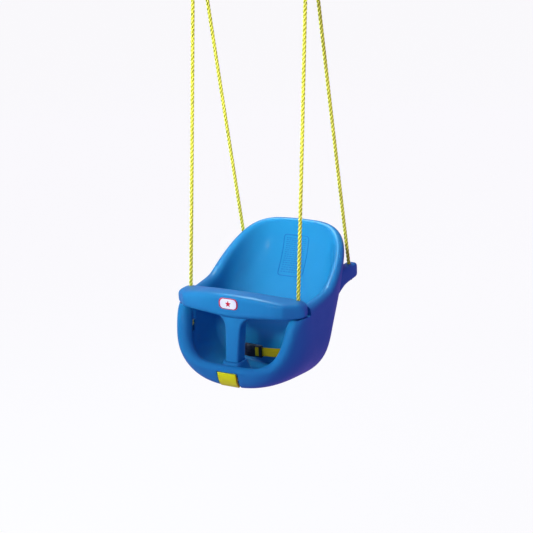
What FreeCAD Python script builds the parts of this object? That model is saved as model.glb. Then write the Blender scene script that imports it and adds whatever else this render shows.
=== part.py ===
"""Toddler bucket swing: moulded bucket seat, lift-up T-bar, latch, lap belt and two rope loops.

Millimetres, +Z up, +X to the sitter's left, +Y to the back. Everything is drawn in the
seat frame, whose origin lies midway between the two front rope holes on top of the T-bar.
The parts are written in the hanging frame, whose origin is the middle of the swing axis,
where both ropes bend over their rings.
"""
import FreeCAD, Part
import math
import os

V = FreeCAD.Vector

# ---------------------------------------------------------------- driving dimensions
# hanging
HOLE_X = 160.0            # half the distance between the left and right ropes
REAR_Y = 294.0            # rear rope hole behind the front one
REAR_Z = 13.0             # top of the rear lug
AXIS_Y = 123.5            # swing axis behind the front rope holes
AXIS_Z = 946.8            # swing axis above the front rope holes
HANG_TILT = 1.79          # degrees that the seat frame tips back when it hangs at rest
ROPE_D = 9.5
HOLE_D = 11.5
RING_WIRE = 8.0           # ring wire diameter
RING_R = 24.0             # ring mean radius

# bucket wall
HALF_WIDTH = 190.0
MID_Y = 100.0             # plan centre of the bucket at arm height
BACK_TOP_Y = 332.0        # back wall at the top
BACK_CURVE = 0.00283      # how fast the back wall scoops forward below the top
SCOOP_END = 227.0         # depth below the top where the scoop starts to straighten
SCOOP_LIMIT = 257.0       # depth that the scoop never passes
TOP_Z = 117.0
FRONT_Y = -108.0
TURN_Z = -110.0           # below this height the wall turns into the floor
FLOOR_Z = -231.0          # underside below the front rim
FLOOR_TILT = 0.16         # the underside drops towards the back
TILT_Y = -60.0
TURN_POWER = 2.3          # squareness of the turn into the floor
TURN_LEN = 150.0          # length given to that turn in the wall's own chart
FLOOR_HALF_X = 35.0       # flat patch at the very bottom
FLOOR_BACK_Y = 123.0
FLOOR_FRONT_Y = -80.0
BACK_SQUARE = 3.2         # plan squareness of the back half
FRONT_SQUARE = 4.3
FLOOR_THICK = 18.0        # double floor, outside to inside
CHART_R = 3.1             # millimetres of wall per degree of plan angle

# T-bar, which rides up the front ropes
BAR_FLOOR = -40.0         # underside of the bar's ends
STEM_W = 38.0
STEM_D = 40.0
STEM_END_Z = -200.0
BADGE_Z = -5.0            # middle of the badge on the bar's front face
FIT = 0.8                 # clearance of sliding fits

# each section of the T-bar: x, front y, back y, lowest z, highest z
BAR = [
    (0, -77, -18, -46, 18), (35, -76.5, -17, -45, 17.5), (70, -75, -14, -42, 16), (105, -71, -6, -40, 11.5),
    (130, -66, 5, -40, 7), (144, -62, 10, -40, 4.5), (151, -57.5, 12.5, -40, 3.5), (166, -43.5, 14, -40, 1.5),
    (178, -32.5, 10, -39.5, -2), (185, -25.5, 3, -37, -10), (187.5, -19, -5, -33, -19),
]

# latch
LATCH_W = 54.0
PIN_Y = -94.5
PIN_Z = -200.0
PIN_D = 4.0

# lap belt
WEB_W = 25.0
WEB_T = 1.8
BELT_Y = 72.0
BELT_Z = -187.0
BUCKLE_X = -20.0
BUCKLE_LEN = 50.0
ANCHOR_X = 122.5
ANCHOR_Y = 136.0

# each point of the rim: plan angle from the back centre in degrees, height, rim thickness
RIM = [
    (0, 106, 24), (16, 103, 24), (32, 91.5, 25), (46, 70, 26), (60, 40, 28), (72, 11, 30),
    (81, -14, 32), (88, -29, 33), (96, -36, 34), (105, -39, 35), (113, -50, 35), (120, -76, 35),
    (125, -106, 35), (132, -138, 34), (142, -164, 32), (154, -181, 30), (166, -189, 30),
    (180, -191, 30),
]
RIBS = 30                 # ribs from the back centre to the front centre


def lerp(a, b, t):
    return a + (b - a) * t


def power(c, n):
    """Signed power that gives a superellipse of squareness n."""
    return math.copysign(abs(c) ** (2.0 / n), c)


def back_wall(z):
    """Y of the back wall at height z: upright at the top, scooping forward below."""
    depth = TOP_Z - z
    if depth > SCOOP_END:
        room = SCOOP_LIMIT - SCOOP_END
        depth = SCOOP_END + room * (1 - math.exp((SCOOP_END - depth) / room))
    return BACK_TOP_Y - BACK_CURVE * depth ** 2


def wall(angle, h, inset=0.0, floor=0.0):
    """Point of the bucket wall at a plan angle and a chart height h above TURN_Z."""
    spread = 1.0
    drop = 0.0
    z = TURN_Z + h
    if h < 0:
        phi = 0.5 * math.pi * (1 + max(h / TURN_LEN, -1))
        spread = power(math.sin(phi), TURN_POWER)
        drop = power(math.cos(phi), TURN_POWER)
        z = TURN_Z - (TURN_Z - FLOOR_Z) * drop
    half = lerp(FLOOR_HALF_X, HALF_WIDTH - inset, spread)
    back = lerp(FLOOR_BACK_Y, back_wall(z) - inset, spread)
    front = lerp(FLOOR_FRONT_Y, FRONT_Y + inset, spread)
    middle = lerp(0.5 * (FLOOR_BACK_Y + FLOOR_FRONT_Y), MID_Y, spread)
    c = math.cos(math.radians(angle))
    s = math.sin(math.radians(angle))
    depth = back - middle if c > 0 else middle - front
    n = BACK_SQUARE if c > 0 else FRONT_SQUARE
    y = middle + depth * power(c, n)
    z += drop * (floor - FLOOR_TILT * (y - TILT_Y))
    return V(half * power(s, n), y, z)


def chart_height(z):
    """Chart height of a point of the outer wall at height z."""
    if z >= TURN_Z:
        return z - TURN_Z
    c = ((TURN_Z - z) / (TURN_Z - FLOOR_Z)) ** (TURN_POWER / 2.0)
    return TURN_LEN * (math.acos(c) / (0.5 * math.pi) - 1)


def spline_value(values, t):
    """Uniform cubic B-spline through the neighbourhood of a list, t from 0 to its last index."""
    last = len(values) - 1
    i = min(int(t), last - 1)
    f = t - i
    weights = (
        (1 - f) ** 3 / 6,
        (3 * f ** 3 - 6 * f ** 2 + 4) / 6,
        (-3 * f ** 3 + 3 * f ** 2 + 3 * f + 1) / 6,
        f ** 3 / 6,
    )
    return sum(w * values[abs(i - 1 + k) if i - 1 + k <= last else 2 * last - (i - 1 + k)]
               for k, w in enumerate(weights))


def rim_at(k):
    """Plan angle, chart height and thickness of the rim at rib k; negative k mirrors."""
    t = abs(k) * (len(RIM) - 1) / RIBS
    angles = [p[0] for p in RIM]
    heights = [p[1] for p in RIM]
    thick = [p[2] for p in RIM]
    angle = spline_value(angles, t)
    if k == 0:
        angle = 0.0
    if abs(k) == RIBS:
        angle = 180.0
    return angle, spline_value(heights, t), spline_value(thick, t)


def rib_chart(k):
    """Chart points of rib k from the rim to the floor strip: lists of (angle, h)."""
    angle, z, _ = rim_at(k)
    before = rim_at(max(k - 1, 0))
    after = rim_at(min(k + 1, RIBS))
    h = chart_height(z)
    run = (after[0] - before[0]) * CHART_R
    rise = chart_height(after[1]) - chart_height(before[1])
    size = math.hypot(run, rise)
    start = (angle * CHART_R, h)
    end = (180.0 * k / RIBS * CHART_R, -TURN_LEN)
    reach = 0.34 * math.hypot(end[0] - start[0], end[1] - start[1])
    first = (start[0] + reach * rise / size, start[1] - reach * run / size)
    second = (end[0], end[1] + reach)
    out = []
    for j in range(13):
        t = j / 12.0
        b = ((1 - t) ** 3, 3 * t * (1 - t) ** 2, 3 * t * t * (1 - t), t ** 3)
        x = sum(w * p[0] for w, p in zip(b, (start, first, second, end)))
        y = sum(w * p[1] for w, p in zip(b, (start, first, second, end)))
        out.append((x / CHART_R, y))
    return out


def mirrored(p, k):
    return V(-p.x, p.y, p.z) if k < 0 else p


def rim_pair(k):
    """Outer and inner edge of the rim at rib k."""
    k_wrapped = k
    if k > RIBS:
        k_wrapped = k - 2 * RIBS
    if k < -RIBS:
        k_wrapped = k + 2 * RIBS
    angle, z, thick = rim_at(k_wrapped)
    h = chart_height(z)
    outer = wall(angle, h)
    inner = wall(angle, h, thick, FLOOR_THICK)
    return mirrored(outer, k_wrapped), mirrored(inner, k_wrapped)


def rib(k):
    """Poles of one rib: up the outside, over the rounded rim, down the inside."""
    chart = rib_chart(abs(k))
    _, _, thick = rim_at(k)
    outside = []
    inside = []
    for j, (angle, h) in enumerate(chart):
        t = min(1.0, j / 9.0)
        through = lerp(thick, FLOOR_THICK + 4, t)
        outside.append(mirrored(wall(angle, h), k))
        inside.append(mirrored(wall(angle, h, through, FLOOR_THICK), k))
    a, b = rim_pair(k)
    ahead = rim_pair(k + 1)
    behind = rim_pair(k - 1)
    tangent = (ahead[0] + ahead[1]) - (behind[0] + behind[1])
    radial = (a - b) * 0.5
    middle = (a + b) * 0.5
    up = tangent.cross(radial)
    up.normalize()
    crown = []
    for step in range(1, 6):
        turn = math.radians(30 * step)
        crown.append(middle + radial * (1.04 * math.cos(turn)) + up * (1.04 * radial.Length * math.sin(turn)))
    return outside[::-1] + crown + inside


def tube_surface(grid):
    """B-spline surface closed around its first direction and open along its second."""
    around = len(grid)
    along = len(grid[0])
    surface = Part.BSplineSurface()
    surface.buildFromPolesMultsKnots(
        grid,
        [1] * (around + 1),
        [4] + [1] * (along - 4) + [4],
        [float(i) for i in range(around + 1)],
        [float(i) for i in range(along - 2)],
        True,
        False,
        3,
        3,
    )
    return surface


def capped(grid):
    """Solid bounded by a tube surface and a flat cap at each of its ends."""
    side = tube_surface(grid).toShape()
    ends = [e for e in side.Edges if e.isClosed()]
    caps = [Part.Face(Part.Wire([e])) for e in ends]
    shell = Part.Shell([side] + caps)
    shell.sewShape()
    solid = Part.Solid(shell)
    if solid.Volume < 0:
        solid.reverse()
    return solid


def bucket():
    return capped([rib(k) for k in range(-RIBS + 1, RIBS + 1)])


# ---------------------------------------------------------------- ropes
CLAMP_TOP = AXIS_Z - 14.0
CLAMP_H = 26.0
BEND_Z = AXIS_Z - 78.0                     # the two legs start to spread here
LEG_GAP = 0.5 * (RING_WIRE + ROPE_D) + 0.3 # each leg from the middle of the ring wire
LEG_FRONT = V(0, AXIS_Y - LEG_GAP, BEND_Z)
LEG_REAR = V(0, AXIS_Y + LEG_GAP, BEND_Z)
SLIDE = V(0, LEG_FRONT.y, LEG_FRONT.z)     # direction of the front rope, from its hole upward
SLIDE.normalize()
REAR_HOLE = V(0, REAR_Y, REAR_Z)
REAR_DIR = LEG_REAR - REAR_HOLE
REAR_DIR.normalize()
FRONT_SEAT = 86.0                          # under the arm boss, along the rope from the hole
REAR_SEAT = 24.0                           # under the lug, along the rope from its top
WASHER_T = 2.5
KNOT_H = 24.0


def corner_radius(before, corner, after):
    """Largest tangent radius that the two runs at a corner allow."""
    a = corner - before
    b = after - corner
    turn = a.getAngle(b)
    return 0.45 * min(a.Length, b.Length) / math.tan(0.5 * turn)


def corner_arc(before, corner, after, radius):
    """Tangent arc at a corner."""
    a = (before - corner).normalize()
    b = (after - corner).normalize()
    half = 0.5 * a.getAngle(b)
    reach = radius / math.tan(half)
    toward = (a + b).normalize()
    middle = corner + toward * (radius / math.sin(half) - radius)
    return Part.Arc(corner + a * reach, middle, corner + b * reach)


def rope_path():
    """Route of one rope in the plane of its ring, as line and arc edges."""
    start = SLIDE * -FRONT_SEAT - SLIDE * WASHER_T
    end = REAR_HOLE - REAR_DIR * (REAR_SEAT + WASHER_T)
    top_front = V(0, AXIS_Y - LEG_GAP, AXIS_Z)
    top_rear = V(0, AXIS_Y + LEG_GAP, AXIS_Z)
    radius_front = corner_radius(start, LEG_FRONT, top_front)
    radius_rear = corner_radius(top_rear, LEG_REAR, end)
    print("cord radii %.1f %.1f %.1f" % (radius_front, LEG_GAP, radius_rear))
    front = corner_arc(start, LEG_FRONT, top_front, radius_front)
    over = Part.Arc(top_front, V(0, AXIS_Y, AXIS_Z + LEG_GAP), top_rear)
    rear = corner_arc(top_rear, LEG_REAR, end, radius_rear)
    return [
        Part.LineSegment(start, front.StartPoint).toShape(),
        front.toShape(),
        Part.LineSegment(front.EndPoint, top_front).toShape(),
        over.toShape(),
        Part.LineSegment(top_rear, rear.StartPoint).toShape(),
        rear.toShape(),
        Part.LineSegment(rear.EndPoint, end).toShape(),
    ]


def rope(x):
    wire = Part.Wire(rope_path())
    wire.translate(V(x, 0, 0))
    start = wire.Edges[0].valueAt(wire.Edges[0].FirstParameter)
    section = Part.Wire([Part.makeCircle(0.5 * ROPE_D, start, SLIDE)])
    tube = wire.makePipeShell([section], True, True)
    length = wire.Length
    print("rope length %.1f, volume ratio %.4f" % (length, tube.Volume / (length * math.pi * ROPE_D ** 2 / 4)))
    return tube


def ring(x):
    return Part.makeTorus(RING_R, 0.5 * RING_WIRE, V(x, AXIS_Y, AXIS_Z + RING_R), V(0, 1, 0))


def rope_clamp(x):
    """Moulded clamp that holds the two legs together under the ring."""
    half = LEG_GAP + 9.0
    block = Part.makeBox(20, 2 * half, CLAMP_H, V(x - 10, AXIS_Y - half, CLAMP_TOP - CLAMP_H))
    uprights = [e for e in block.Edges if abs(e.tangentAt(e.FirstParameter).z) > 0.9]
    block = block.makeFillet(9.5, uprights)
    block = block.makeFillet(2.0, [e for e in block.Edges if abs(e.tangentAt(e.FirstParameter).z) < 0.5])
    for y in (AXIS_Y - LEG_GAP, AXIS_Y + LEG_GAP):
        block = block.cut(Part.makeCylinder(0.5 * ROPE_D, CLAMP_H + 2, V(x, y, CLAMP_TOP - CLAMP_H - 1)))
    return block


def washer(x, top, direction):
    base = top - direction * WASHER_T + V(x, 0, 0)
    disc = Part.makeCylinder(13.0, WASHER_T, base, direction)
    return disc.cut(Part.makeCylinder(0.5 * ROPE_D + 0.4, WASHER_T, base, direction))


def knot(x, top, direction):
    """Rounded body of a stopper knot, flat where it meets its washer."""
    base = top + V(x, 0, 0)
    profile = Part.Wire([
        Part.LineSegment(V(0, 0, 0), V(7, 0, 0)).toShape(),
        Part.Arc(V(7, 0, 0), V(10.535, 0, -1.465), V(12, 0, -5)).toShape(),
        Part.LineSegment(V(12, 0, -5), V(12, 0, -12)).toShape(),
        Part.Arc(V(12, 0, -12), V(10.389, 0, -15.889), V(6.5, 0, -17.5)).toShape(),
        Part.LineSegment(V(6.5, 0, -17.5), V(4.2, 0, -KNOT_H)).toShape(),
        Part.LineSegment(V(4.2, 0, -KNOT_H), V(0, 0, -KNOT_H)).toShape(),
        Part.LineSegment(V(0, 0, -KNOT_H), V(0, 0, 0)).toShape(),
    ])
    body = Part.Face(profile).revolve(V(0, 0, 0), V(0, 0, 1), 360)
    body.Placement = FreeCAD.Placement(base, FreeCAD.Rotation(V(0, 0, 1), direction))
    return body


# ---------------------------------------------------------------- T-bar
def loop(centre, half_a, half_b, axis_a, axis_b, square, count=24):
    """Poles of a superellipse around a centre."""
    out = []
    for i in range(count):
        t = 2 * math.pi * (i + 0.5) / count
        out.append(centre + axis_a * (half_a * power(math.cos(t), square))
                   + axis_b * (half_b * power(math.sin(t), square)))
    return out


def lofted(sections):
    """Capped solid through a list of equal-length pole loops."""
    return capped([[s[i] for s in sections] for i in range(len(sections[0]))])


def bar(grow=0.0):
    rows = [(-x, f, b, lo, hi) for x, f, b, lo, hi in BAR[:0:-1]] + BAR
    sections = []
    for x, front, back, low, high in rows:
        centre = V(x, 0.5 * (front + back), 0.5 * (low + high))
        sections.append(loop(centre, 0.5 * (back - front) + grow, 0.5 * (high - low) + grow,
                             V(0, 1, 0), V(0, 0, 1), 4.2))
    return lofted(sections)


def stem_centre(z):
    """Centre of the stem at height z: it leans with the front ropes."""
    return V(0, -35.0 + SLIDE.y / SLIDE.z * z, z)


def stem(grow=0.0, top=-22.0, end=STEM_END_Z):
    """Stem below the height top: flared under the bar, a little narrower towards its end."""
    flare = [(-22, 46), (-32, 44), (-44, 33), (-54, 13), (-66, 5), (-82, 3), (-120, 1.8), (-160, 0.6)]
    rows = [row for row in flare if row[0] <= top] + [(end + 5, 0), (end, 0), (end, -3)]
    sections = []
    for z, extra in rows:
        wide = 0.5 * STEM_W + extra + grow
        deep = 0.5 * STEM_D + grow - (1.5 if extra > 8 else 0) + min(extra, 0)
        sections.append(loop(stem_centre(z), wide, deep, V(1, 0, 0), V(0, 1, 0), 6.0))
    return lofted(sections)


STEM_FACE_Y = stem_centre(-192).y - 0.5 * STEM_D      # front of the stem at the latch


def rope_hole(x, direction, origin, up, down, radius=0.5 * HOLE_D):
    base = origin + V(x, 0, 0) - direction * down
    return Part.makeCylinder(radius, up + down, base, direction)


def t_bar():
    body = bar().fuse(stem())
    for x in (-HOLE_X, HOLE_X):
        body = body.cut(rope_hole(x, SLIDE, V(0, 0, 0), 30, 70))
    notch = Part.makeBox(22, 8, 10, V(-11, STEM_FACE_Y - 3, -196))
    return body.cut(notch)


def badge():
    """Plain rounded plate that follows the bar's front face, with a raised star."""
    plate = rounded_slab(56, 29, 40, 12)
    plate.Placement = FreeCAD.Placement(V(0, -60, BADGE_Z), FreeCAD.Rotation(V(1, 0, 0), 90))
    points = []
    for i in range(10):
        r = 10.5 if i % 2 == 0 else 4.6
        a = math.radians(90 + 36 * i)
        points.append(V(r * math.cos(a), -60, BADGE_Z + r * math.sin(a)))
    star = Part.Face(Part.makePolygon(points + points[:1])).extrude(V(0, -40, 0))
    low = bar(1.6).common(plate)
    high = bar(2.6).common(star)
    return low.fuse(high).cut(bar())


def rounded_slab(width, depth, height, radius):
    """Box centred on its footprint, with rounded upright corners."""
    block = Part.makeBox(width, depth, height, V(-0.5 * width, -0.5 * depth, 0))
    return block.makeFillet(radius, [e for e in block.Edges if abs(e.tangentAt(e.FirstParameter).z) > 0.9])


# ---------------------------------------------------------------- latch
def latch():
    """Lever plate that follows the lip, with its hub and the tongue that faces the stem."""
    half = 0.5 * LATCH_W
    outer = Part.Arc(V(0, -105.5, -183.5), V(0, -101.5, -205), V(0, -89.5, -225))
    inner = Part.Arc(V(0, -84.5, -223), V(0, -96.2, -203), V(0, -100.2, -183.5))
    outline = Part.Wire([
        outer.toShape(),
        Part.LineSegment(V(0, -89.5, -225), V(0, -84.5, -223)).toShape(),
        inner.toShape(),
        Part.LineSegment(V(0, -100.2, -183.5), V(0, -105.5, -183.5)).toShape(),
    ])
    plate = Part.Face(outline).extrude(V(LATCH_W, 0, 0))
    plate.translate(V(-half, 0, 0))
    plate = plate.makeFillet(1.6, [e for e in plate.Edges if e.CenterOfMass.y < -97 and e.Length > 30])
    hub = Part.makeCylinder(4.6, LATCH_W, V(-half, PIN_Y, PIN_Z), V(1, 0, 0))
    tongue = Part.makeBox(18, STEM_FACE_Y - 0.9 - PIN_Y, 6, V(-9, PIN_Y, -195.5))
    web = Part.makeBox(18, 6, 9, V(-9, -99, PIN_Z + 1))
    body = plate.fuse(hub).fuse(tongue).fuse(web)
    return body.cut(Part.makeCylinder(0.5 * PIN_D + 0.15, LATCH_W + 2, V(-half - 1, PIN_Y, PIN_Z), V(1, 0, 0)))


def latch_pin():
    length = LATCH_W + 13
    return Part.makeCylinder(0.5 * PIN_D, length, V(-0.5 * length, PIN_Y, PIN_Z), V(1, 0, 0))


def latch_spring():
    """Compression spring between the lever's foot and the back of its bay."""
    radius = 3.4
    wire_d = 0.9
    length = 12.0
    helix = Part.makeHelix(length / 5.0, length, radius)
    section = Part.Wire([Part.makeCircle(0.5 * wire_d, V(radius, 0, 0), V(0, 1, 0))])
    coil = Part.Wire(helix.Edges).makePipeShell([section], True, True)
    coil.Placement = FreeCAD.Placement(V(0, -72.6, -214), FreeCAD.Rotation(V(1, 0, 0), 90))
    return coil


# ---------------------------------------------------------------- lap belt
def belt_arc(x, thick, low, high, end_gap):
    """Curved band from the buckle to the wall on one side, as a ring sector."""
    side = math.copysign(1, x)
    start_x = BUCKLE_X + side * 0.5 * BUCKLE_LEN - side * 5.0
    run = ANCHOR_X - side * start_x
    rise = ANCHOR_Y - BELT_Y
    radius = (run ** 2 + rise ** 2) / (2 * rise)
    sweep = math.asin(run / radius) - end_gap / radius
    edges = []
    for r in (radius + 0.5 * thick, radius - 0.5 * thick):
        points = [V(start_x + side * r * math.sin(a), BELT_Y + radius - r * math.cos(a), low)
                  for a in (0, 0.5 * sweep, sweep)]
        edges.append(points)
    far, near = edges
    outline = Part.Wire([
        Part.Arc(far[0], far[1], far[2]).toShape(),
        Part.LineSegment(far[2], near[2]).toShape(),
        Part.Arc(near[2], near[1], near[0]).toShape(),
        Part.LineSegment(near[0], far[0]).toShape(),
    ])
    print("belt half length %.1f" % (radius * sweep))
    return Part.Face(outline).extrude(V(0, 0, high - low))


def belt_strap(x):
    return belt_arc(x, WEB_T, BELT_Z - 0.5 * WEB_W, BELT_Z + 0.5 * WEB_W, 3.1)


def belt_anchor(x):
    """Bar behind the wall that holds the strap's end."""
    side = math.copysign(1, x)
    return Part.makeCylinder(3.0, 34, V(side * ANCHOR_X, ANCHOR_Y, BELT_Z - 17))


def belt_slot(x):
    """Slot in the back wall for a strap, with the hollow behind it for the bar."""
    side = math.copysign(1, x)
    band = belt_arc(x, 5.0, BELT_Z - 14, BELT_Z + 14, 0.0)
    room = Part.makeCylinder(4.2, 36, V(side * ANCHOR_X, ANCHOR_Y, BELT_Z - 18))
    keep = Part.makeBox(60, 60, 80, V(side * 110 - 30, 112, BELT_Z - 40))
    return band.common(keep).fuse(room)


def buckle_base(x0, x1, thick, high):
    """Rounded block of the buckle between two x values."""
    block = Part.makeBox(x1 - x0, thick, high, V(x0, BELT_Y - 0.5 * thick, BELT_Z - 0.5 * high))
    return block.makeFillet(0.3 * thick, [e for e in block.Edges if e.Length > x1 - x0 - 0.1
                                          and abs(e.tangentAt(e.FirstParameter).x) > 0.9])


def strap_room(x):
    """Slot in a buckle half for the end of its strap."""
    return Part.makeBox(5.2, WEB_T + 0.4, WEB_W + 0.6,
                        V(x, BELT_Y - 0.5 * WEB_T - 0.2, BELT_Z - 0.5 * WEB_W - 0.3))


SOCKET_X0 = BUCKLE_X - 0.5 * BUCKLE_LEN
PLUG_X1 = BUCKLE_X + 0.5 * BUCKLE_LEN
SPLIT_X = BUCKLE_X + 4.0


def buckle_socket():
    body = buckle_base(SOCKET_X0, SPLIT_X, 12.5, 35)
    cavity = Part.makeBox(24, 7.5, 29, V(SPLIT_X - 23, BELT_Y - 3.75, BELT_Z - 14.5))
    windows = Part.makeBox(12, 7.5, 40, V(SPLIT_X - 18, BELT_Y - 3.75, BELT_Z - 20))
    return body.cut(cavity).cut(windows).cut(strap_room(SOCKET_X0 - 0.1))


def buckle_plug():
    base = buckle_base(SPLIT_X + 0.4, PLUG_X1, 11.5, 34)
    guide = Part.makeBox(20, 5.5, 6, V(SPLIT_X - 19, BELT_Y - 2.75, BELT_Z - 3))
    grooves = [Part.makeBox(9, 14, 25.6, V(SPLIT_X + 4, BELT_Y + y, BELT_Z - 12.8)) for y in (-18.3, 4.3)]
    body = base.cut(strap_room(PLUG_X1 - 5.1)).fuse(guide)
    for groove in grooves:
        body = body.cut(groove)
    return body


def buckle_prongs():
    """Two spring arms with the side pads that are squeezed to open the buckle."""
    arms = []
    for side in (-1, 1):
        arm = Part.makeBox(20, 5.5, 2.6, V(SPLIT_X - 19.6, BELT_Y - 2.75, BELT_Z + side * 10.5 - 1.3))
        pad = Part.makeCylinder(5.0, 5.5, V(SPLIT_X - 12, BELT_Y + 2.75, BELT_Z + side * 12.0), V(0, -1, 0))
        arms.append(arm.fuse(pad))
    return Part.makeCompound(arms)


# ---------------------------------------------------------------- seat shell
def lug(x):
    """Rear rope lug: a rounded block that grows out of the back corner."""
    side = math.copysign(1, x)
    rows = [(216, 158, -26, 9, 30), (228, 158, -20, 11, 28), (240, 157.5, -16, 13, 25),
            (252, 157.5, -13, 14.5, 23), (266, 158, -11, 16, 22), (280, 159, -10, 16.5, 21.5),
            (298, 160, -9, 16.5, 21), (311, 160, -9, 16.5, 21), (316, 160, -9, 15, 19), (317, 160, -9, 11, 15)]
    return lofted([loop(V(side * cx, y, cz), a, b, V(1, 0, 0), V(0, 0, 1), 4.5)
                   for y, cx, cz, a, b in rows])


def pommel():
    """Mound inside the front lip, with the socket that the stem stands in."""
    rows = [(-221, 50, 36, 18), (-212, 50, 37, 12), (-198, 44, 37, 4), (-183, 34.5, 33.5, 0),
            (-172, 30, 30.5, 0), (-165, 28, 28.5, 0), (-162.5, 26.5, 27, 0), (-162, 25, 25.5, 0),
            (-162, 22.5, 23.5, 0)]
    return lofted([loop(stem_centre(z) + V(0, back, 0), a, b, V(1, 0, 0), V(0, 1, 0), 3.4)
                   for z, a, b, back in rows])


def arm_boss(x):
    return rope_hole(x, SLIDE, V(0, 0, 0), -38, FRONT_SEAT, 17.0)


def bar_rest(x):
    """Room above an arm for the end of the bar, open along the sliding direction."""
    side = math.copysign(1, x)
    low = BAR_FLOOR - 0.5
    corners = [V(side * 126, -90, low), V(side * 126, 15.5, low), V(side * 180, 15.5, low),
               V(side * 210, 6, low), V(side * 210, -90, low)]
    return Part.Face(Part.makePolygon(corners + corners[:1])).extrude(SLIDE * 60)


def latch_bay():
    """Channel in the front lip for the latch, with a window through to the stem."""
    wide = LATCH_W + 9
    upper = Part.makeBox(wide, 31.5, 50, V(-0.5 * wide, -118, -232))
    lower = Part.makeBox(wide, 46, 44, V(-0.5 * wide, -118, PIN_Z - 50))
    window = Part.makeBox(24, 14, 12, V(-12, -90, -198))
    return upper.fuse(lower).fuse(window)


def seat_shell():
    body = bucket()
    for x in (-HOLE_X, HOLE_X):
        body = body.fuse(lug(x)).fuse(arm_boss(x))
    body = body.fuse(pommel())
    cuts = [stem(FIT, top=-100, end=STEM_END_Z - 1.0), latch_bay(), latch_pin()]
    for x in (-HOLE_X, HOLE_X):
        cuts.append(bar_rest(x))
        cuts.append(rope_hole(x, SLIDE, V(0, 0, 0), 0, FRONT_SEAT + 1))
        cuts.append(rope_hole(x, SLIDE, V(0, 0, 0), -FRONT_SEAT, FRONT_SEAT + 36, 14.0))
        cuts.append(rope_hole(x, REAR_DIR, REAR_HOLE, 10, REAR_SEAT + 1))
        cuts.append(rope_hole(x, REAR_DIR, REAR_HOLE, -REAR_SEAT, REAR_SEAT + 70, 13.6))
        cuts.append(belt_slot(x))
    for cutter in cuts:
        body = body.cut(cutter)
    return body


def placed(name, shape):
    """From the seat frame to the hanging frame; only the rings stay upright."""
    moved = shape.copy()
    moved.translate(V(0, -AXIS_Y, -AXIS_Z))
    if not name.startswith("ring"):
        moved.rotate(V(0, 0, 0), V(1, 0, 0), HANG_TILT)
    return moved


def save(name, shape):
    shape = placed(name, shape)
    print(name, "valid", shape.isValid(), "solids", len(shape.Solids), "volume %.0f" % shape.Volume)
    shape.exportStep("parts/" + name + ".step")


os.makedirs("parts", exist_ok=True)
save("seat_shell", seat_shell())
save("t_bar", t_bar())
save("badge", badge())
save("latch", latch())
save("latch_pin", latch_pin())
save("latch_spring", latch_spring())
save("buckle_socket", buckle_socket())
save("buckle_plug", buckle_plug())
save("buckle_prongs", buckle_prongs())
for name, x in (("left", HOLE_X), ("right", -HOLE_X)):
    save("belt_strap_" + name, belt_strap(x))
    save("belt_anchor_" + name, belt_anchor(x))
    save("rope_" + name, rope(x))
    save("ring_" + name, ring(x))
    save("rope_clamp_" + name, rope_clamp(x))
    save("front_washer_" + name, washer(x, SLIDE * -FRONT_SEAT, SLIDE))
    save("front_knot_" + name, knot(x, SLIDE * -(FRONT_SEAT + WASHER_T), SLIDE))
    save("rear_washer_" + name, washer(x, REAR_HOLE - REAR_DIR * REAR_SEAT, REAR_DIR))
    save("rear_knot_" + name, knot(x, REAR_HOLE - REAR_DIR * (REAR_SEAT + WASHER_T), REAR_DIR))
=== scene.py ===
"""Looks of the toddler bucket swing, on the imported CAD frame.

Metres, +Z up, +X to the sitter's left, +Y to the seat's back. Places on the seat are given in
millimetres in the seat frame, as in the part's source, and turned into the row frame by seat().
"""
import math
import bpy
from mathutils import Matrix, Vector
from mathutils.bvhtree import BVHTree


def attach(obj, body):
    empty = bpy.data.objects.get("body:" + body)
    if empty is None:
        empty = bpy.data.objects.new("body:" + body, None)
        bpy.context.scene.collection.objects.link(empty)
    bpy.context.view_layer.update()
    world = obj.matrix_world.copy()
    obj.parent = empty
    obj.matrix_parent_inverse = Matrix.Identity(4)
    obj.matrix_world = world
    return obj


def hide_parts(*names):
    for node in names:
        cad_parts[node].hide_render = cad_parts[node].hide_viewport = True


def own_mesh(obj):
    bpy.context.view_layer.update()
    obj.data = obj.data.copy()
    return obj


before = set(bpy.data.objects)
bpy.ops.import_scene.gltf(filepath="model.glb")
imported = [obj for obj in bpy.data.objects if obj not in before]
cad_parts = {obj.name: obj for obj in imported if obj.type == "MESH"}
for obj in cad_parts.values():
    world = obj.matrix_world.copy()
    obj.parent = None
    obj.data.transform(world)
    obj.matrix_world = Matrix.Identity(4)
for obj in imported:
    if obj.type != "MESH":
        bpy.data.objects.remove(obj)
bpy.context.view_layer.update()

# ---------------------------------------------------------------- places
HANG_TILT = math.radians(1.79)      # the seat frame tips back by this about the swing axis
AXIS_Y = 123.5                      # swing axis in the seat frame, millimetres
AXIS_Z = 946.8
HOLE_X = 160.0                      # half the distance between the left and right ropes
SIDES = (("left", 1), ("right", -1))


def seat_turn(v):
    """Row-frame direction of a seat-frame direction."""
    return Matrix.Rotation(HANG_TILT, 3, "X") @ Vector(v)


def seat(x, y, z):
    """Row-frame point in metres of a seat-frame point in millimetres."""
    return seat_turn((x, y - AXIS_Y, z - AXIS_Z)) * 0.001


# ---------------------------------------------------------------- camera
VIEW_AZIMUTH = math.radians(30.0)   # round to the sitter's left
VIEW_ELEVATION = math.radians(17.41)
VIEW_ROLL = math.radians(-2.67)
VIEW_DISTANCE = 3.2
AIM_RIGHT = 0.0598                  # camera beyond the front rope holes' middle
AIM_UP = 0.0685
LENS = 83.9


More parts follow.
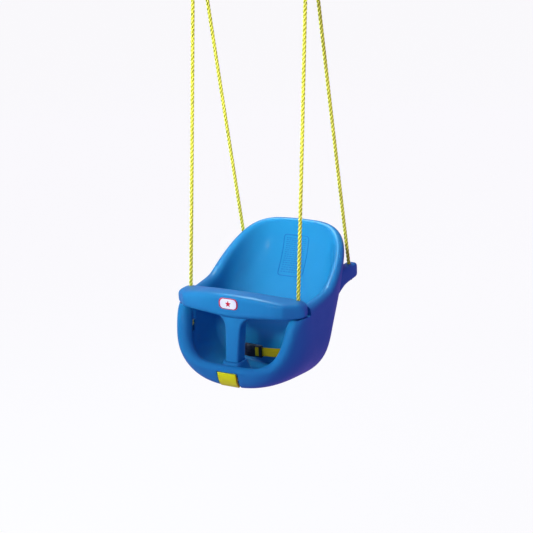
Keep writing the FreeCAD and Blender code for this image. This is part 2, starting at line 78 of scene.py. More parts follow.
def make_camera():
    """Camera at the photograph's viewing angle; returns its right, up and back in the row frame."""
    a, e = VIEW_AZIMUTH, VIEW_ELEVATION
    back = Vector((math.sin(a) * math.cos(e), -math.cos(a) * math.cos(e), math.sin(e)))
    level = Vector((math.cos(a), math.sin(a), 0))
    above = back.cross(level)
    right = level * math.cos(VIEW_ROLL) + above * math.sin(VIEW_ROLL)
    up = above * math.cos(VIEW_ROLL) - level * math.sin(VIEW_ROLL)
    place = back * VIEW_DISTANCE + right * AIM_RIGHT + up * AIM_UP
    camera = bpy.data.objects.new("camera", bpy.data.cameras.new("camera"))
    camera.data.lens = LENS
    axes = [seat_turn(v) for v in (right, up, back)]
    matrix = Matrix(axes).transposed().to_4x4()
    matrix.translation = seat(*(place * 1000))
    camera.matrix_world = matrix
    bpy.context.collection.objects.link(camera)
    bpy.context.scene.camera = camera
    return axes


# ---------------------------------------------------------------- mesh helpers
def mesh_object(name, points, faces, uvs=None):
    """Smooth mesh object; uvs holds one pair for each corner of each face."""
    mesh = bpy.data.meshes.new(name)
    mesh.from_pydata([tuple(p) for p in points], [], faces)
    if uvs:
        layer = mesh.uv_layers.new(name="UVMap")
        flat = [c for face in uvs for pair in face for c in pair]
        layer.data.foreach_set("uv", flat)
    mesh.polygons.foreach_set("use_smooth", [True] * len(mesh.polygons))
    mesh.update()
    piece = bpy.data.objects.new(name, mesh)
    bpy.context.collection.objects.link(piece)
    return piece


def joined(name, parts):
    """One mesh object from several (points, faces, uvs) parts."""
    points, faces, uvs = [], [], []
    for p, f, u in parts:
        base = len(points)
        points += p
        faces += [tuple(i + base for i in face) for face in f]
        uvs += u
    return mesh_object(name, points, faces, uvs)


def grid_part(rows, closed_rows=True, capped=False, scale=(1.0, 1.0)):
    """Quads between successive loops of points, with u round the loop and v along the rows."""
    n = len(rows[0])
    points = [p for row in rows for p in row]
    faces, uvs = [], []
    last = n if closed_rows else n - 1
    run = 0.0
    for i in range(len(rows) - 1):
        step = (rows[i + 1][0] - rows[i][0]).length
        for j in range(last):
            k = (j + 1) % n
            faces.append((i * n + j, i * n + k, (i + 1) * n + k, (i + 1) * n + j))
            u0, u1 = j / n * scale[0], (j + 1) / n * scale[0]
            v0, v1 = run * scale[1], (run + step) * scale[1]
            uvs.append(((u0, v0), (u1, v0), (u1, v1), (u0, v1)))
        run += step
    if capped:
        faces.append(tuple(range(n))[::-1])
        faces.append(tuple((len(rows) - 1) * n + j for j in range(n)))
        uvs += [((0, 0),) * n, ((0, 0),) * n]
    return points, faces, uvs


def spline_points(points):
    """Points along a smooth NURBS curve with these control points."""
    curve = bpy.data.curves.new("route", "CURVE")
    curve.dimensions = "3D"
    spline = curve.splines.new("NURBS")
    spline.points.add(len(points) - 1)
    for item, p in zip(spline.points, points):
        item.co = (*p, 1.0)
    spline.order_u = 3
    spline.use_endpoint_u = True
    spline.resolution_u = 48
    holder = bpy.data.objects.new("route", curve)
    bpy.context.collection.objects.link(holder)
    mesh = bpy.data.meshes.new_from_object(holder)
    out = [v.co.copy() for v in mesh.vertices]
    bpy.data.objects.remove(holder)
    bpy.data.curves.remove(curve)
    bpy.data.meshes.remove(mesh)
    return out


def resampled(points, step):
    """The same line with evenly spaced points."""
    total = sum((b - a).length for a, b in zip(points, points[1:]))
    count = max(2, round(total / step))
    gap = total / count
    out = [points[0].copy()]
    want, done = gap, 0.0
    for a, b in zip(points, points[1:]):
        length = (b - a).length
        while want <= done + length + 1e-9 and len(out) < count:
            out.append(a.lerp(b, (want - done) / length))
            want += gap
        done += length
    out.append(points[-1].copy())
    return out, total


def carried_frames(points):
    """Tangent and two normals at each point, turned as little as possible along the line."""
    out = []
    side = None
    for i, p in enumerate(points):
        a = points[max(i - 1, 0)]
        b = points[min(i + 1, len(points) - 1)]
        t = (b - a).normalized()
        if side is None:
            side = t.cross(Vector((1, 0, 0))).cross(t)
        side = (side - t * side.dot(t)).normalized()
        out.append((t, side, t.cross(side)))
    return out


def ring_angles(count):
    """Evenly spaced angles once round a circle."""
    return [2 * math.pi * i / count for i in range(count)]


# ---------------------------------------------------------------- ropes
ROPE_LAY = 0.034                    # length of one turn of a strand
ROPE_STEP = 0.0017                  # between the rings of points along a strand
LAID_D = 0.0099                     # over the crowns of the strands
STRAND_SHARE = 0.238                # a strand's radius, of the laid rope's diameter
REACH_SHARE = 0.262                 # from the rope's middle to a strand's


def laid_rope(points, diameter=LAID_D, lay=ROPE_LAY, step=ROPE_STEP, sides=10):
    """Three strands twisted round a line, as mesh parts."""
    line, _ = resampled(points, step)
    frames = carried_frames(line)
    strand = diameter * STRAND_SHARE
    reach = diameter * REACH_SHARE
    slope = math.atan(2 * math.pi * reach / lay)
    parts = []
    for k in range(3):
        rows = []
        for i, (p, (t, n, b)) in enumerate(zip(line, frames)):
            turn = 2 * math.pi * (i * step / lay + k / 3)
            out = n * math.cos(turn) + b * math.sin(turn)
            around = t.cross(out)
            across = out.cross(t * math.cos(slope) + around * math.sin(slope))
            rows.append([p + out * (reach + strand * math.cos(a)) + across * (strand * math.sin(a))
                         for a in ring_angles(sides)])
        parts.append(grid_part(rows, capped=True, scale=(1.0, 1.0 / lay)))
    return parts


FRONT_START = (-11.56, -87.74)      # y and z in the seat frame: top of the knot under the arm
FRONT_BEND = (114.45, 868.8)        # the legs come together below the clamp
OVER_FRONT = (113.0, 957.3)         # corners of the bend over the ring's wire
OVER_REAR = (134.0, 957.3)
REAR_BEND = (132.55, 868.8)
REAR_END = (298.91, -13.04)         # top of the knot under the lug
ROPE_ROUTE = (FRONT_START, FRONT_BEND, OVER_FRONT, OVER_REAR, REAR_BEND, REAR_END)


def make_ropes(material):
    """One laid rope a side, with a stopper knot at each end."""
    for side, sign in SIDES:
        route = [seat(sign * HOLE_X, y, z) for y, z in ROPE_ROUTE]
        line = spline_points(route)
        rope = joined("laid_rope_" + side, laid_rope(line))
        knots = []
        for place, end, other in (("front", line[0], line[1]), ("rear", line[-1], line[-2])):
            knot = make_knot(place + "_stopper_knot_" + side, end, (other - end).normalized())
            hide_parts(place + "_knot_" + side)
            knots.append(knot)
        for piece in [rope] + knots:
            piece.data.materials.append(material)
            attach(piece, "seat")
        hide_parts("rope_" + side)
        even, _ = resampled(line, 0.004)
        tuple(route[0])
        [tuple(p) for p in even]


KNOT_R = 0.0024                     # scale of the knot's trefoil line
KNOT_MIDDLE = -0.0098               # below the knot's top
KNOT_RISE = 0.0048
KNOT_LAY = 0.02
TAIL_Z = (-0.013, -0.017, -0.0205, -0.0232)
NECK_Z = (0.0, -0.004, -0.008, -0.012)
SEAL_PROFILE = ((0.0041, -0.0215), (0.0044, -0.0225), (0.0041, -0.0236), (0.002, -0.024))


def make_knot(name, top, up):
    """Overhand stopper knot with a heat-sealed tail, drawn tight under its washer."""
    turn = up.to_track_quat("Z", "Y")
    loop = []
    for i in range(97):
        t = 2 * math.pi * i / 96
        loop.append(Vector((KNOT_R * (math.sin(t) + 2 * math.sin(2 * t)),
                            KNOT_R * (math.cos(t) - 2 * math.cos(2 * t)),
                            KNOT_MIDDLE - KNOT_RISE * math.sin(3 * t))))
    tail = [Vector((0, 0, z)) for z in TAIL_Z]
    neck = [Vector((0, 0, z)) for z in NECK_Z]
    parts = laid_rope(loop, 0.0078, KNOT_LAY, 0.0011)
    parts += laid_rope(tail, 0.0082, KNOT_LAY, 0.001)
    parts += laid_rope(neck, 0.0088, KNOT_LAY, 0.001)
    seal = [[Vector((r * math.cos(a), r * math.sin(a), z)) for a in ring_angles(16)]
            for r, z in SEAL_PROFILE]
    parts.append(grid_part([row[::-1] for row in seal], capped=True))
    piece = joined(name, parts)
    piece.data.transform(Matrix.Translation(top) @ turn.to_matrix().to_4x4())
    return piece


# ---------------------------------------------------------------- materials
def shader(name, **sockets):
    """New material with a principled shader; returns the material, its node tree and the shader."""
    material = bpy.data.materials.new(name)
    material.use_nodes = True
    tree = material.node_tree
    surface = tree.nodes["Principled BSDF"]
    for key, value in sockets.items():
        surface.inputs[key.replace("_", " ")].default_value = value
    return material, tree, surface


def feed(tree, target, value):
    """Link a socket to another node's output, or set its value."""
    if isinstance(value, bpy.types.NodeSocket):
        tree.links.new(value, target)
    else:
        target.default_value = value


def node(tree, kind, **inputs):
    """New node; keywords set its input sockets, by value or by link."""
    made = tree.nodes.new("ShaderNode" + kind)
    for key, value in inputs.items():
        feed(tree, made.inputs[key], value)
    return made


def mixed(tree, factor, first, second, blend="MIX"):
    """Colour between first and second, by factor."""
    made = node(tree, "Mix")
    made.data_type = "RGBA"
    made.blend_type = blend
    for socket, value in ((0, factor), (6, first), (7, second)):
        feed(tree, made.inputs[socket], value)
    return made.outputs[2]


def ramp(tree, value, stops):
    """Colour ramp of grey or coloured stops."""
    made = node(tree, "ValToRGB", Fac=value)
    band = made.color_ramp
    while len(band.elements) < len(stops):
        band.elements.new(0.5)
    for element, (at, colour) in zip(band.elements, stops):
        element.position = at
        element.color = (colour, colour, colour, 1) if isinstance(colour, float) else (*colour, 1)
    return made.outputs[0]


def place_scaled(tree, scale):
    """Object-space place, stretched by a scale on each axis."""
    coordinates = node(tree, "TexCoord").outputs["Object"]
    return node(tree, "Mapping", Vector=coordinates, Scale=scale).outputs[0]


def uv_scaled(tree, uv, scale, turn=0.0):
    """Surface coordinates, stretched and turned."""
    return node(tree, "Mapping", Vector=uv, Scale=scale, Rotation=(0, 0, turn)).outputs[0]


def noise(tree, vector, scale, detail=3.0, rough=0.5):
    return node(tree, "TexNoise", Vector=vector, Scale=scale, Detail=detail, Roughness=rough).outputs[0]


def bump(tree, surface, heights):
    """Chain of bump nodes from (height, strength, distance) entries."""
    normal = None
    for height, strength, distance in heights:
        made = node(tree, "Bump", Height=height, Strength=strength, Distance=distance)
        if normal is not None:
            tree.links.new(normal, made.inputs["Normal"])
        normal = made.outputs[0]
    tree.links.new(normal, surface.inputs["Normal"])


def moulded_plastic(name, dark, light, worn, rough=(0.38, 0.54), coat=0.35, grain=0.25, glint=0.22):
    """Moulded polyethylene: faint flow marks, fine grain, scuffs and paler worn edges."""
    material, tree, surface = shader(name, Coat_Weight=coat, Coat_Roughness=0.2, IOR=1.5,
                                     Specular_IOR_Level=glint)
    every = place_scaled(tree, (1, 1, 1))
    flow = noise(tree, place_scaled(tree, (1, 1, 0.35)), 7.0, 4.0)
    colour = mixed(tree, ramp(tree, flow, ((0.3, 0.0), (0.7, 1.0))), (*dark, 1), (*light, 1))
    edge = ramp(tree, node(tree, "NewGeometry").outputs["Pointiness"], ((0.53, 0.0), (0.62, 1.0)))
    patches = ramp(tree, noise(tree, every, 38.0, 5.0, 0.65), ((0.46, 0.0), (0.66, 1.0)))
    wear = mixed(tree, 1.0, edge, patches, "MULTIPLY")
    colour = mixed(tree, wear, colour, (*worn, 1))
    scratches = noise(tree, place_scaled(tree, (60, 9, 24)), 3.0, 6.0, 0.7)
    scuff = ramp(tree, scratches, ((0.62, 0.0), (0.72, 1.0)))
    colour = mixed(tree, mixed(tree, 0.85, scuff, (0, 0, 0, 1)), colour, (*worn, 1))
    tree.links.new(colour, surface.inputs["Base Color"])
    satin = ramp(tree, noise(tree, every, 22.0, 6.0, 0.6), ((0.3, rough[0]), (0.75, rough[1])))
    tree.links.new(mixed(tree, scuff, satin, (0.6, 0.6, 0.6, 1)), surface.inputs["Roughness"])
    bump(tree, surface, [(noise(tree, every, 900.0, 2.0), grain, 0.00012),
                         (noise(tree, every, 45.0, 2.0), 0.12, 0.0006),
                         (scuff, -0.15, 0.0001)])
    return material


def rope_material():
    """Twisted polypropylene film yarn: bright fibres, painted shade in the hollows between the strands, a
    faint painted glow and a little dirt.
    """
    # Painted glow: a faint yellow-green emission makes the rope give off light of its own, so it looks
    # brighter than the lamps alone light it.
    material, tree, surface = shader("rope_fibres", IOR=1.49, Specular_IOR_Level=0.2,
                                     Emission_Color=(0.5, 0.62, 0.02, 1), Emission_Strength=0.12)
    uv = node(tree, "TexCoord").outputs["UV"]
    fibres = noise(tree, uv_scaled(tree, uv, (34, 1.6, 1)), 1.0, 4.0, 0.6)
    yarns = node(tree, "TexWave", Vector=uv_scaled(tree, uv, (7, 1.1, 1), 0.25),
                 Scale=1.0, Distortion=1.2, Detail=2.0).outputs[1]
    fibre_shade = ramp(tree, fibres, ((0.25, 0.0), (0.7, 1.0)))
    colour = mixed(tree, fibre_shade, (0.84, 0.83, 0.04, 1), (0.97, 0.95, 0.24, 1))
    colour = mixed(tree, ramp(tree, yarns, ((0.0, 0.25), (0.4, 0.0))), colour, (0.45, 0.36, 0.02, 1))
    # Painted shade: each strand's inner side, where it sinks between the other strands, is mixed towards
    # dark olive (0.30, 0.30, 0.0).
    round_strand = node(tree, "SeparateXYZ", Vector=uv).outputs[0]
    painted_groove_shade = ramp(tree, round_strand, ((0.07, 0.0), (0.17, 0.92), (0.83, 0.92), (0.93, 0.0)))
    colour = mixed(tree, painted_groove_shade, colour, (0.30, 0.30, 0.0, 1))
    dirt = ramp(tree, noise(tree, place_scaled(tree, (1, 1, 1)), 55.0, 4.0), ((0.55, 0.0), (0.8, 0.2)))
    colour = mixed(tree, dirt, colour, (0.55, 0.48, 0.15, 1))
    tree.links.new(colour, surface.inputs["Base Color"])
    tree.links.new(ramp(tree, fibres, ((0.2, 0.62), (0.8, 0.38))), surface.inputs["Roughness"])
    bump(tree, surface, [(fibres, 0.6, 0.0003), (yarns, 0.45, 0.0005)])
    return material


def webbing_material():
    """Woven polypropylene webbing: warp ribs along it, picks across and fine threads."""
    material, tree, surface = shader("webbing_weave", IOR=1.49, Specular_IOR_Level=0.2)
    uv = node(tree, "TexCoord").outputs["UV"]
    warp = node(tree, "TexWave", Vector=uv_scaled(tree, uv, (9.0, 0.0, 0)), Scale=1.0)
    pick = node(tree, "TexWave", Vector=uv_scaled(tree, uv, (1.2, 110.0, 0)), Scale=1.0, Distortion=0.4)
    pick.bands_direction = "Y"
    threads = noise(tree, uv_scaled(tree, uv, (130, 420, 1)), 1.0, 3.0)
    height = mixed(tree, 0.5, warp.outputs[0], pick.outputs[0], "MULTIPLY")
    shade = mixed(tree, 0.45, height, threads)
    weave = ramp(tree, shade, ((0.1, 0.0), (0.9, 1.0)))
    colour = mixed(tree, weave, (0.36, 0.24, 0.0, 1), (0.58, 0.40, 0.008, 1))
    tree.links.new(colour, surface.inputs["Base Color"])
    tree.links.new(ramp(tree, shade, ((0.1, 0.8), (0.9, 0.5))), surface.inputs["Roughness"])
    bump(tree, surface, [(height, 0.8, 0.0004), (threads, 0.3, 0.0002)])
    return material


def steel_material():
    """Zinc-plated steel with spangle, fine rubbing marks and dull spots."""
    material, tree, surface = shader("zinc_steel", Metallic=0.45, Specular_IOR_Level=0.5)
    every = place_scaled(tree, (1, 1, 1))
    spangle = node(tree, "TexVoronoi", Vector=every, Scale=420.0).outputs["Color"]
    tone = node(tree, "RGBToBW", Color=spangle).outputs[0]
    facets = ramp(tree, tone, ((0.2, 0.0), (0.8, 1.0)))
    colour = mixed(tree, facets, (0.50, 0.51, 0.53, 1), (0.66, 0.67, 0.69, 1))
    rust = ramp(tree, noise(tree, every, 160.0, 6.0, 0.7), ((0.66, 0.0), (0.76, 0.6)))
    colour = mixed(tree, rust, colour, (0.30, 0.20, 0.13, 1))
    tree.links.new(colour, surface.inputs["Base Color"])
    rub = noise(tree, place_scaled(tree, (1, 14, 14)), 90.0, 4.0)
    tree.links.new(ramp(tree, rub, ((0.3, 0.28), (0.8, 0.48))), surface.inputs["Roughness"])
    bump(tree, surface, [(rub, 0.2, 0.0001), (rust, 0.3, 0.0001)])
    return material


BLUE_DARK = (0.010, 0.205, 0.41)
BLUE_WORN = (0.04, 0.34, 0.64)
ENAMEL = {"rough": (0.15, 0.28), "coat": 0.5, "grain": 0.05}

BLUE = moulded_plastic("blue_shell_plastic", BLUE_DARK, (0.016, 0.235, 0.47), BLUE_WORN)
BAR_BLUE = moulded_plastic("blue_bar_plastic", BLUE_DARK, (0.016, 0.24, 0.48), BLUE_WORN, rough=(0.36, 0.50))
LATCH_YELLOW = moulded_plastic("yellow_latch_plastic", (1.0, 0.93, 0.0), (1.0, 0.97, 0.0), (1.0, 0.98, 0.15))
# Painted shade: a darker copy of the shell's blue on the raised frame and ribs of the backrest panel,
# standing for the shade along its embossed lines.
PANEL_SHADE_BLUE = moulded_plastic("blue_panel_painted_shade", (0.003, 0.14, 0.36), (0.005, 0.16, 0.40),
                             (0.02, 0.2, 0.45))
BLACK = moulded_plastic("black_buckle_plastic", (0.006, 0.006, 0.012), (0.012, 0.012, 0.02),
                        (0.06, 0.06, 0.07), rough=(0.38, 0.55), coat=0.0, grain=0.5, glint=0.08)
BADGE_RED = moulded_plastic("red_badge_enamel", (0.55, 0.02, 0.03), (0.62, 0.03, 0.04),
                            (0.7, 0.2, 0.18), **ENAMEL)
BADGE_WHITE = moulded_plastic("white_badge_enamel", (0.80, 0.80, 0.80), (0.86, 0.86, 0.86),
                              (0.7, 0.7, 0.68), **ENAMEL)
ROPE = rope_material()
WEBBING = webbing_material()
STEEL = steel_material()

NODE_MATERIALS = {
    "seat_shell": BLUE, "t_bar": BAR_BLUE, "latch": LATCH_YELLOW, "latch_pin": STEEL,
    "buckle_socket": BLACK, "buckle_plug": BLACK, "buckle_prongs": BLACK,
}
PAIR_MATERIALS = {
    "ring_": STEEL, "rope_clamp_": BAR_BLUE, "front_washer_": STEEL, "rear_washer_": STEEL,
    "belt_anchor_": STEEL,
}


def finish_nodes():
    """Material of each CAD node that stays in view."""
    for name, material in NODE_MATERIALS.items():
        set_material(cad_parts[name], material)
    for side, _ in SIDES:
        for name, material in PAIR_MATERIALS.items():
            set_material(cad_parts[name + side], material)


def set_material(piece, material):
    """One material in all of a piece's slots."""
    if piece.material_slots:
        for entry in piece.material_slots:
            entry.material = material
    else:
        piece.data.materials.append(material)


# ---------------------------------------------------------------- surface details
def caster(name):
    """Ray caster on a CAD node: (seat-frame origin, seat-frame direction) to (point, normal)."""
    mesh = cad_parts[name].data
    tree = BVHTree.FromPolygons([v.co for v in mesh.vertices], [p.vertices for p in mesh.polygons])

    def cast(origin, direction):
        way = seat_turn(direction).normalized()
        point, normal, _, _ = tree.ray_cast(seat(*origin), way)
        if point is not None and normal.dot(way) > 0:
            normal = -normal
        return point, normal
    return cast


def rounded_outline(half_w, half_h, radius, count=12):
    """Points of a rounded rectangle, anticlockwise."""
    out = []
    for cx, cy, start in ((1, 1, 0), (-1, 1, 90), (-1, -1, 180), (1, -1, 270)):
        for i in range(count + 1):
            a = math.radians(start + 90 * i / count)
            x = cx * (half_w - radius) + radius * math.cos(a)
            y = cy * (half_h - radius) + radius * math.sin(a)
            out.append((x, y))
    return out


def subdivided(outline, step):
    """The same closed outline with points at most about a step apart."""
    out = []
    for (x0, y0), (x1, y1) in zip(outline, outline[1:] + outline[:1]):
        n = max(1, int(math.hypot(x1 - x0, y1 - y0) / step))
        out += [(x0 + (x1 - x0) * i / n, y0 + (y1 - y0) * i / n) for i in range(n)]
    return out


def inset_relief(name, cast, centre, way, outline, profile, material, body):
    """Raised plate on a surface: loops of an outline shrunk and lifted by (shrink, height) in mm."""
    rows = []
    cx, cy, cz = centre
    for shrink, height in profile:
        row = []
        for x, z in outline:
            point, normal = cast((cx + x * shrink, cy, cz + z * shrink), way)
            row.append(point + normal * (height * 0.001))
        rows.append(row)
    points, faces, uvs = grid_part(rows)
    middle, normal = cast(centre, way)
    n = len(outline)
    points.append(middle + normal * (profile[-1][1] * 0.001))
    base = (len(rows) - 1) * n
    for j in range(n):
        faces.append((base + j, base + (j + 1) % n, len(points) - 1))
        uvs.append(((0, 0),) * 3)
    piece = mesh_object(name, points, faces, uvs)
    piece.data.materials.append(material)
    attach(piece, body)
    return piece


def shrink_steps(start, end, count, height):
    """Profile of a level face: evenly smaller loops at one height."""
    return [(start + (end - start) * i / count, height) for i in range(count + 1)]


BADGE_Z = -5.0
BADGE_HALF = (27.5, 14.2)
BADGE_R = 11.5
STAR_R = (9.0, 4.0)                 # points and hollows of the star


def star_outline(outer, inner):
    """Five-pointed star, one point up."""
    points = []
    for i in range(10):
        r = outer if i % 2 == 0 else inner
        a = math.radians(90 + 36 * i)
        points.append((r * math.cos(a), r * math.sin(a)))
    return points


def make_badge():
    """Plain enamelled plate: red rim, white field, red star."""
    cast = caster("t_bar")
    centre = (0, -140, BADGE_Z)
    way = (0, 1, 0)
    outline = subdivided(rounded_outline(*BADGE_HALF, BADGE_R), 1.5)
    rim = [(1.0, -0.4), (1.0, 1.1), (0.985, 1.5), (0.96, 1.6), (0.90, 1.6), (0.87, 1.3)]
    rim += shrink_steps(0.86, 0.1, 9, 1.1)
    plate = inset_relief("badge_plate", cast, centre, way, outline, rim, BADGE_RED, "t_bar")
    field = [(0.865, 0.9), (0.865, 1.25), (0.85, 1.35)] + shrink_steps(0.8, 0.1, 7, 1.35)
    inset_relief("badge_field", cast, centre, way, outline, field, BADGE_WHITE, "t_bar")
    star = subdivided(star_outline(*STAR_R), 1.0)
    lifted = [(1.0, 1.2), (1.0, 1.7), (0.93, 2.0)] + shrink_steps(0.85, 0.1, 5, 2.0)
    inset_relief("badge_star", cast, centre, way, star, lifted, BADGE_RED, "t_bar")
    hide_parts("badge")


BEAD_SECTION = ((-1.25, -0.3), (-1, 0.25), (-0.55, 0.85), (0, 1.0), (0.55, 0.85), (1, 0.25), (1.25, -0.3))


def raised_bead(cast, centre, way, path, half, height, closed=True):
    """Rounded bead that follows a flat path thrown onto a surface."""
    hits = [cast((centre[0] + x, centre[1], centre[2] + z), way) for x, z in path]
    rows = []
    n = len(hits)
    for i, (point, normal) in enumerate(hits):
        a = hits[(i - 1) % n if closed else max(i - 1, 0)][0]
        b = hits[(i + 1) % n if closed else min(i + 1, n - 1)][0]
        side = (b - a).normalized().cross(normal)
        rows.append([point + side * (half * 0.001 * s) + normal * (height * 0.001 * h)
                     for s, h in BEAD_SECTION])
    if closed:
        rows.append(rows[0])
    return grid_part(rows, closed_rows=False)


PANEL = (0.0, 60.0, 22.0)           # middle of the backrest panel, cast back from here
PANEL_HALF = (38.0, 51.0)
RIB_ROWS = 17
RIB_TOP = 42.0
RIB_PITCH = 5.25
RIB_END = 30.0                      # the rows of ribs reach this far each side
RIB_GAP = 2.2
RIB_LENGTHS = (5.0, 8.0, 3.5, 6.5)


def make_back_panel():
    """Embossed panel of the backrest: a rounded frame round rows of plain short ribs."""
    cast = caster("seat_shell")
    way = (0, 1, 0)
    frame_path = subdivided(rounded_outline(*PANEL_HALF, 8.0, 6), 2.0)
    parts = [raised_bead(cast, PANEL, way, frame_path, 1.2, 1.0)]
    for row in range(RIB_ROWS):
        z = RIB_TOP - RIB_PITCH * row
        x = -RIB_END
        k = 0
        while x < RIB_END - 1.0:
            end = min(x + RIB_LENGTHS[(row * 3 + k * 5) % 4], RIB_END)
            steps = max(2, int((end - x) / 1.2))
            path = [(x + (end - x) * i / steps, z) for i in range(steps + 1)]
            parts.append(raised_bead(cast, PANEL, way, path, 0.95, 0.7, closed=False))
            x = end + RIB_GAP
            k += 1
    piece = joined("back_panel_relief", parts)
    # The relief takes the darker blue of painted shade.
    piece.data.materials.append(PANEL_SHADE_BLUE)
    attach(piece, "seat")


# ---------------------------------------------------------------- lap belt
WEB_W = 25.0
WEB_HALF_T = 0.72                   # half the webbing's thickness
BELT_Y = 72.0
BELT_Z = -187.0
BUCKLE_X = -20.0
BUCKLE_LEN = 50.0
ANCHOR_X = 122.5
ANCHOR_Y = 136.0
END_GAP = 4.0                       # the webbing stops this far short of its anchor's axis
SEAM_PLACES = slice(33, 37)         # places along a strap's line that carry a row of stitches
STITCH_PITCH = 2.6

HALF_SECTION = ((-1, -0.4), (-0.985, -0.85), (-0.94, -1), (-0.5, -1.06), (0, -1.1), (0.5, -1.06), (0.94, -1),
                (0.985, -0.85), (1, -0.4))


def web_section(point, along, outward, half, thick):
    """Loop round a strap's section: rounded selvedges and a slightly crowned face."""
    up = along.cross(outward)
    shape = HALF_SECTION + tuple((-a, -b) for a, b in HALF_SECTION)
    return [point + up * (half * a) + outward * (thick * b) for a, b in shape]


def strap_line(sign):
    """Point, way along and outward normal at each place on one half of the belt, seat frame."""
    start = BUCKLE_X + sign * (0.5 * BUCKLE_LEN - 5.0)
    run = ANCHOR_X - sign * start
    rise = ANCHOR_Y - BELT_Y
    radius = (run ** 2 + rise ** 2) / (2 * rise)
    sweep = math.asin(run / radius) - END_GAP / radius
    out = []
    for i in range(61):
        a = sweep * i / 60
        p = Vector((start + sign * radius * math.sin(a), BELT_Y + radius - radius * math.cos(a), BELT_Z))
        along = Vector((sign * math.cos(a), math.sin(a), 0))
        outward = Vector((sign * math.sin(a), -math.cos(a), 0))
        out.append((p, along, outward))
    return out


def stitch(point, along, outward, length=2.6, fat=0.42):
    """One short thread laid on the webbing."""
    rows = []
    for i in range(5):
        t = i / 4 - 0.5
        lift = 0.25 * math.cos(math.pi * t)
        size = fat * (0.55 + 0.45 * math.cos(math.pi * t))
        centre = point + along * (length * t) + outward * lift
        side = along.cross(outward)
        rows.append([centre + side * (size * math.cos(a)) + outward * (size * math.sin(a))
                     for a in ring_angles(6)])
    return grid_part(rows, capped=True)


def to_row(part):
    """Mesh part from the seat frame in millimetres to the row frame in metres."""
    points, faces, uvs = part
    return [seat(*p) for p in points], faces, uvs


def make_belt():
    """Both straps with rows of stitches."""
    for side, sign in SIDES:
        line = strap_line(sign)
        rows = [web_section(p, along, outward, 0.5 * WEB_W - 0.25, WEB_HALF_T) for p, along, outward in line]
        strap = joined("lap_strap_" + side, [to_row(grid_part(rows, capped=True, scale=(1.0, 0.01)))])
        threads = []
        for p, along, outward in line[SEAM_PLACES]:
            for offset in range(-4, 5):
                place = p + Vector((0, 0, STITCH_PITCH * offset)) + outward * 0.85
                threads.append(to_row(stitch(place + along * (0.2 * offset), along, outward)))
        seam = joined("strap_stitches_" + side, threads)
        strap.data.materials.append(WEBBING)
        seam.data.materials.append(BLACK)
        for piece in (strap, seam):
            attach(piece, "seat")
            if side == "left":
                end = seat(ANCHOR_X - END_GAP, ANCHOR_Y, BELT_Z)
                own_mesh(piece)
        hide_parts("belt_strap_" + side)


TURN_X = BUCKLE_X + 7.0             # the turn's first edge
TURN_W = 11.0
TURN_D = 6.3                        # half its depth
TURN_SIDE = ((-1, -0.96), (-1, -0.5), (-1, 0), (-1, 0.5), (-1, 0.96), (-0.8, 1), (0, 1.01), (0.8, 1))
TURN_LIFTS = ((0, -0.6), (0.04, -0.15), (0.12, 0.0), (0.3, 0.12), (0.5, 0.16), (0.7, 0.12), (0.88, 0.0),
              (0.96, -0.15), (1, -0.6))


def make_strap_turn():
    """Turn of webbing round the bar of the buckle's plug."""
    outline = [(side * y * TURN_D, side * z * (0.5 * WEB_W - 0.3)) for side in (1, -1) for y, z in TURN_SIDE]
    rows = []
    for t, lift in TURN_LIFTS:
        swell = (TURN_D + lift) / TURN_D
        rows.append([Vector((TURN_X + TURN_W * t, BELT_Y + y * swell, BELT_Z + z)) for y, z in outline])
    points, faces, _ = grid_part(rows)
    uvs = [tuple((0.5 + (points[i].z - BELT_Z) / WEB_W, points[i].x * 0.01) for i in face) for face in faces]
    piece = joined("plug_strap_turn", [to_row((points, faces, uvs))])
    piece.data.materials.append(WEBBING)
    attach(piece, "buckle")


# ---------------------------------------------------------------- latch spring
SPRING_END = (0, -72.6, -214)       # where the spring bears on the back of its bay
SPRING_R = 3.4
SPRING_LEN = 14.5
SPRING_TURNS = 6
SPRING_WIRE_R = 0.45
TURN_STEPS = 28


def make_spring():
    """Return spring of the latch."""
    line = []
    for i in range(SPRING_TURNS * TURN_STEPS + 1):
        t = i / (SPRING_TURNS * TURN_STEPS)
        a = 2 * math.pi * SPRING_TURNS * t
        along = SPRING_LEN * (0.5 * t + 0.25 * (1 - math.cos(math.pi * t)))
        up = SPRING_R * math.sin(a)
        line.append(seat(SPRING_R * math.cos(a), SPRING_END[1] - along, SPRING_END[2] + up))
    rows = [[p + (n * math.cos(a) + b * math.sin(a)) * (SPRING_WIRE_R * 0.001) for a in ring_angles(10)]
            for p, (_, n, b) in zip(line, carried_frames(line))]
    spring = joined("latch_return_spring", [grid_part(rows, capped=True)])
    spring.data.materials.append(STEEL)
    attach(spring, "seat")
    tuple(seat_turn((0, 1, 0)))
    tuple(seat(*SPRING_END))
    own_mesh(spring)
    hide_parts("latch_spring")


# ---------------------------------------------------------------- stage and light
FLOOR_Z = -1.75
FLOOR_R = 8.0
CURVE_R = 3.0                       # of the sweep from the floor up into the wall
WALL_TOP = 14.0


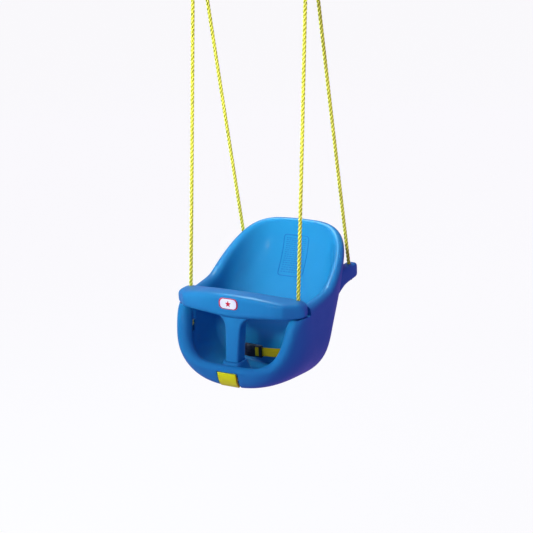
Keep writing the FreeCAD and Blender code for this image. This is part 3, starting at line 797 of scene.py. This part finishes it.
def make_stage():
    """Pale floor that runs up into a wall all round."""
    material, tree, surface = shader("studio_paper", Roughness=0.9, Emission_Strength=0.93)
    grain = noise(tree, place_scaled(tree, (1, 1, 1)), 3.0, 3.0)
    colour = mixed(tree, grain, (0.05, 0.05, 0.05, 1), (0.06, 0.06, 0.06, 1))
    tree.links.new(colour, surface.inputs["Base Color"])
    surface.inputs["Emission Color"].default_value = (1, 1, 1, 1)
    profile = [(0.01, 0.0), (2.0, 0.0), (FLOOR_R, 0.0)]
    for i in range(1, 13):
        a = math.pi * i / 24
        profile.append((FLOOR_R + CURVE_R * math.sin(a), CURVE_R * (1 - math.cos(a))))
    profile.append((FLOOR_R + CURVE_R, WALL_TOP))
    rows = [[Vector((r * math.cos(a), r * math.sin(a), FLOOR_Z + z)) for a in ring_angles(96)]
            for r, z in profile]
    points, faces, _ = grid_part(rows)
    floor = mesh_object("studio_floor", points, faces + [tuple(range(96))[::-1]])
    floor.data.materials.append(material)
    floor.visible_diffuse = False
    floor.visible_glossy = False


def area_light(name, place, target, size, power, colour, spread=math.pi):
    """Round light at a place, turned to its target."""
    light = bpy.data.lights.new(name, "AREA")
    light.shape = "DISK"
    light.size = size
    light.energy = power
    light.color = colour
    light.spread = spread
    lamp = bpy.data.objects.new(name, light)
    lamp.matrix_world = (target - place).to_track_quat("-Z", "Y").to_matrix().to_4x4()
    lamp.location = place
    bpy.context.collection.objects.link(lamp)
    return lamp


def make_lights(axes):
    """Soft lights from the sitter's front right and from above, and a dim one for the ropes."""
    right, _, back = axes
    middle = seat(0, 100, -60)
    key = area_light("key", middle + Vector((-1.35, -1.55, 0.80)), middle, 0.7, 20, (0.66, 1.0, 1.0))
    fill = area_light("fill", middle + Vector((-1.65, -1.30, -0.30)), middle, 0.9, 9, (0.5, 1.0, 1.0))
    area_light("top", middle + Vector((-0.65, 0.5, 1.85)), middle, 0.9, 24, (0.72, 1.0, 1.0))
    high = seat(0, 100, 480)
    rope_light = area_light("rope_light", high + back * 1.9 - right * 0.9, high, 0.5, 4.0, (0.97, 1.0, 0.9),
                            spread=math.radians(36))
    for lamp in (key, fill, rope_light):
        lamp.visible_glossy = False
    world = bpy.data.worlds.new("studio")
    world.use_nodes = True
    background = world.node_tree.nodes["Background"]
    background.inputs["Color"].default_value = (0.43, 0.23, 0.84, 1)
    background.inputs["Strength"].default_value = 0.58
    bpy.context.scene.world = world
    bpy.context.scene.view_settings.view_transform = "Standard"


view_axes = make_camera()
make_ropes(ROPE)
finish_nodes()
make_badge()
make_back_panel()
make_belt()
make_strap_turn()
make_spring()
make_stage()
make_lights(view_axes)
